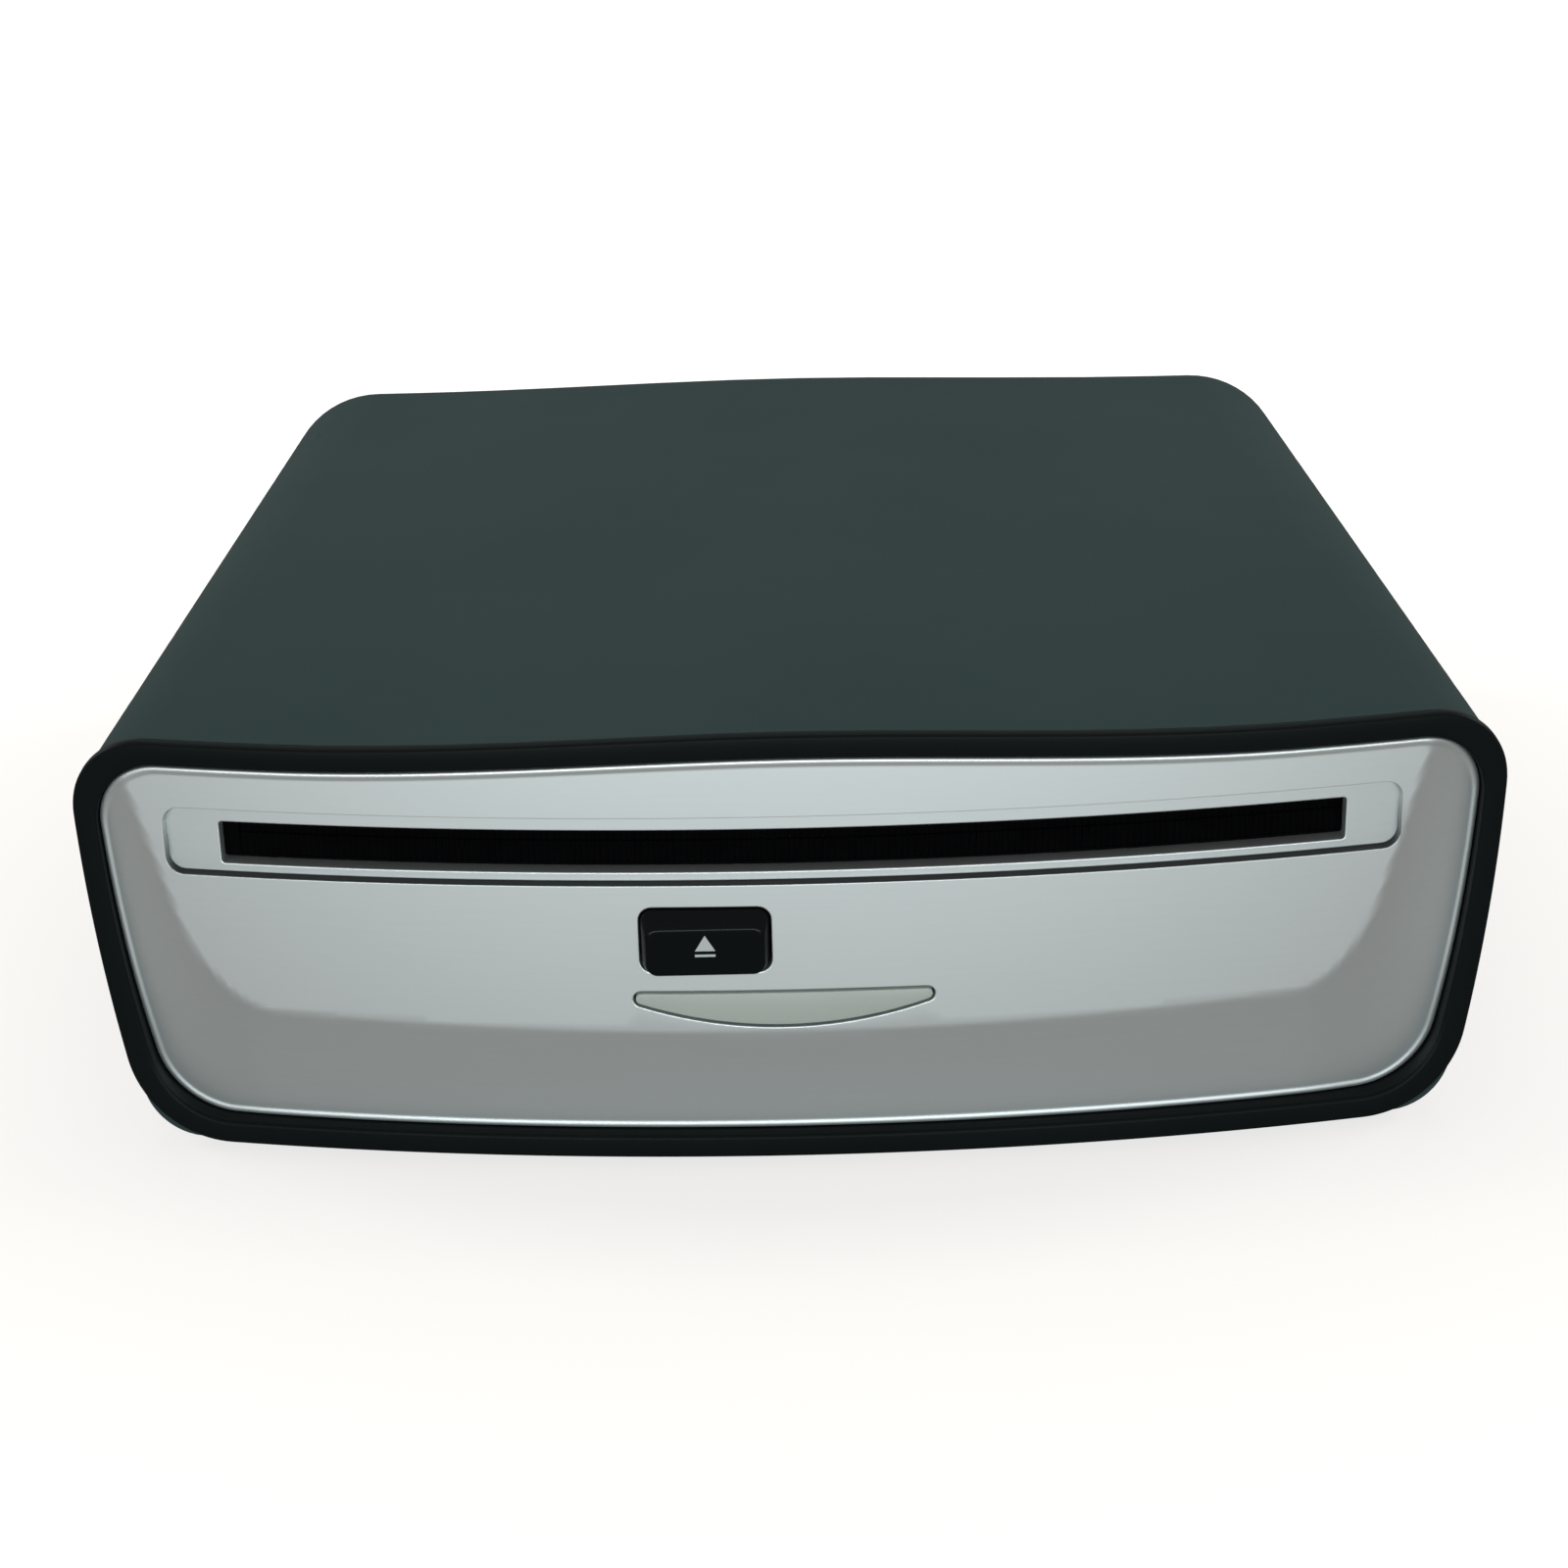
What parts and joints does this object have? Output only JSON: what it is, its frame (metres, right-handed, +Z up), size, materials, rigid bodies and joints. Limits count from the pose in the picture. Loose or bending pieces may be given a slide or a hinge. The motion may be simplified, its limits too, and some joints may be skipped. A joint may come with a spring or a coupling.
{
  "type": "external_disc_drive",
  "caption": "External slot-loading disc drive: bowed silver face in a black rim, dark slate cover with a crowned top, eject button, status window and a full loading mechanism",
  "frame": {"origin": "middle of the footprint, on the surface the feet stand on", "axes": "+X to the right seen from the front, +Y from the face to the rear, +Z up"},
  "size_m": [0.1628, 0.1612, 0.0529],
  "materials": {
    "cover_paint": "powder_satin",
    "base_metal": "powder_satin",
    "rim_plastic": "satin",
    "face_silver": "satin metallic",
    "felt": "flocked",
    "button_plastic": "gloss",
    "icon_ink": "matte",
    "window_plastic": "translucent",
    "lamp_plastic": "clear",
    "board": "solder mask",
    "black_plastic": "moulded",
    "white_plastic": "moulded",
    "sheet_steel": "zinc plated",
    "bright_steel": "ground",
    "screw_steel": "plated",
    "soft_rubber": "matte",
    "roller_rubber": "matte",
    "brass_worm": "turned",
    "alloy_can": "drawn",
    "ribbon_film": "film",
    "lens_glass": "polished"
  },
  "bodies": {
    "housing": {"bezel_frame": "rim_plastic", "face_panel": "face_silver", "slot_felt": "felt", "front_board": "board", "eject_switch": "black_plastic", "status_lamp": "lamp_plastic", "status_window": "window_plastic", "front_board_screws": "screw_steel", "top_cover": "cover_paint", "bottom_shell": "base_metal", "case_screws": "screw_steel", "foot_front_left": "soft_rubber", "foot_rear_left": "soft_rubber", "foot_front_right": "soft_rubber", "foot_rear_right": "soft_rubber", "rear_panel": "base_metal", "main_board": "board", "main_board_screws": "screw_steel", "decoder_chip": "black_plastic", "filter_capacitors": "alloy_can", "usb_socket": "alloy_can", "power_inlet": "black_plastic", "ribbon_socket": "white_plastic", "front_ribbon": "ribbon_film", "chassis": "sheet_steel", "chassis_screws": "screw_steel", "grommet_front_left": "soft_rubber", "grommet_rear_left": "soft_rubber", "grommet_front_right": "soft_rubber", "grommet_rear_right": "soft_rubber", "upper_guide": "white_plastic", "pivot_rod": "bright_steel", "loading_motor": "alloy_can", "clamp_pin": "bright_steel", "traverse_deck": "sheet_steel", "deck_screws": "screw_steel", "guide_rod_front": "bright_steel", "guide_rod_rear": "bright_steel", "sled_motor": "alloy_can", "spindle_motor": "alloy_can"},
    "eject_key": {"eject_button": "button_plastic", "eject_icon": "icon_ink", "switch_plunger": "white_plastic"},
    "slider": {"shift_slider": "white_plastic"},
    "roller_frame": {"roller_arm": "sheet_steel"},
    "roller": {"roller_shaft": "bright_steel", "roller_sleeve_left": "roller_rubber", "roller_sleeve_right": "roller_rubber", "roller_gear": "white_plastic"},
    "idler": {"idler_gear": "black_plastic"},
    "reduction": {"worm_wheel": "white_plastic"},
    "worm": {"motor_worm": "brass_worm"},
    "clamp": {"clamp_arm": "sheet_steel"},
    "puck": {"clamp_puck": "white_plastic"},
    "spindle": {"turntable": "alloy_can", "platter_pad": "soft_rubber"},
    "sled": {"pickup_sled": "black_plastic"},
    "lens": {"objective_lens": "lens_glass"},
    "feed_screw": {"lead_screw": "bright_steel"}
  },
  "joints": [
    {"name": "eject_press", "type": "slide", "parent": "housing", "child": "eject_key", "axis": [0, 1, 0], "range_m": [0, 0.0006], "stiffness_N_per_m": 400},
    {"name": "shift_slide", "type": "slide", "parent": "housing", "child": "slider", "axis": [0, 1, 0], "range_m": [0, 0.012]},
    {"name": "roller_drop", "type": "hinge", "parent": "housing", "child": "roller_frame", "pos_m": [0, -0.03736, 0.027], "axis": [1, 0, 0], "range_deg": [0, 14.02]},
    {"name": "clamp_lower", "type": "hinge", "parent": "housing", "child": "clamp", "pos_m": [0, 0.06664, 0.0432], "axis": [1, 0, 0], "range_deg": [0, 5.85]},
    {"name": "roller_spin", "type": "hinge", "parent": "roller_frame", "child": "roller", "pos_m": [0, -0.05936, 0.0327], "axis": [1, 0, 0], "continuous": true},
    {"name": "idler_spin", "type": "hinge", "parent": "housing", "child": "idler", "pos_m": [0, -0.05709, 0.04146], "axis": [1, 0, 0], "continuous": true},
    {"name": "reduction_spin", "type": "hinge", "parent": "housing", "child": "reduction", "pos_m": [0, -0.0455, 0.03814], "axis": [1, 0, 0], "continuous": true},
    {"name": "worm_spin", "type": "hinge", "parent": "housing", "child": "worm", "pos_m": [0.069, -0.0455, 0.03024], "axis": [0, 1, 0], "continuous": true},
    {"name": "puck_spin", "type": "hinge", "parent": "clamp", "child": "puck", "pos_m": [0, 0.00271, 0.04713], "axis": [0, 0.1019, 0.9948], "continuous": true},
    {"name": "turntable_spin", "type": "hinge", "parent": "housing", "child": "spindle", "pos_m": [0, 0.00264, 0.0344], "axis": [0, 0, 1], "continuous": true},
    {"name": "sled_travel", "type": "slide", "parent": "housing", "child": "sled", "axis": [-1, 0, 0], "range_m": [0, 0.034]},
    {"name": "lens_focus", "type": "slide", "parent": "sled", "child": "lens", "axis": [0, 0, 1], "range_m": [-0.0005, 0.0005], "stiffness_N_per_m": 20},
    {"name": "screw_spin", "type": "hinge", "parent": "housing", "child": "feed_screw", "pos_m": [0, 0.02914, 0.029], "axis": [1, 0, 0], "range_deg": [0, 4080]}
  ],
  "couplings": [
    {"joint": "roller_drop", "follows": "shift_slide", "rad_per_m": 20.391},
    {"joint": "clamp_lower", "follows": "shift_slide", "rad_per_m": 8.5084},
    {"joint": "idler_spin", "follows": "roller_spin", "ratio": -1.1429},
    {"joint": "reduction_spin", "follows": "roller_spin", "ratio": 0.61538},
    {"joint": "worm_spin", "follows": "roller_spin", "ratio": 14.769},
    {"joint": "screw_spin", "follows": "sled_travel", "rad_per_m": 2094.3}
  ]
}
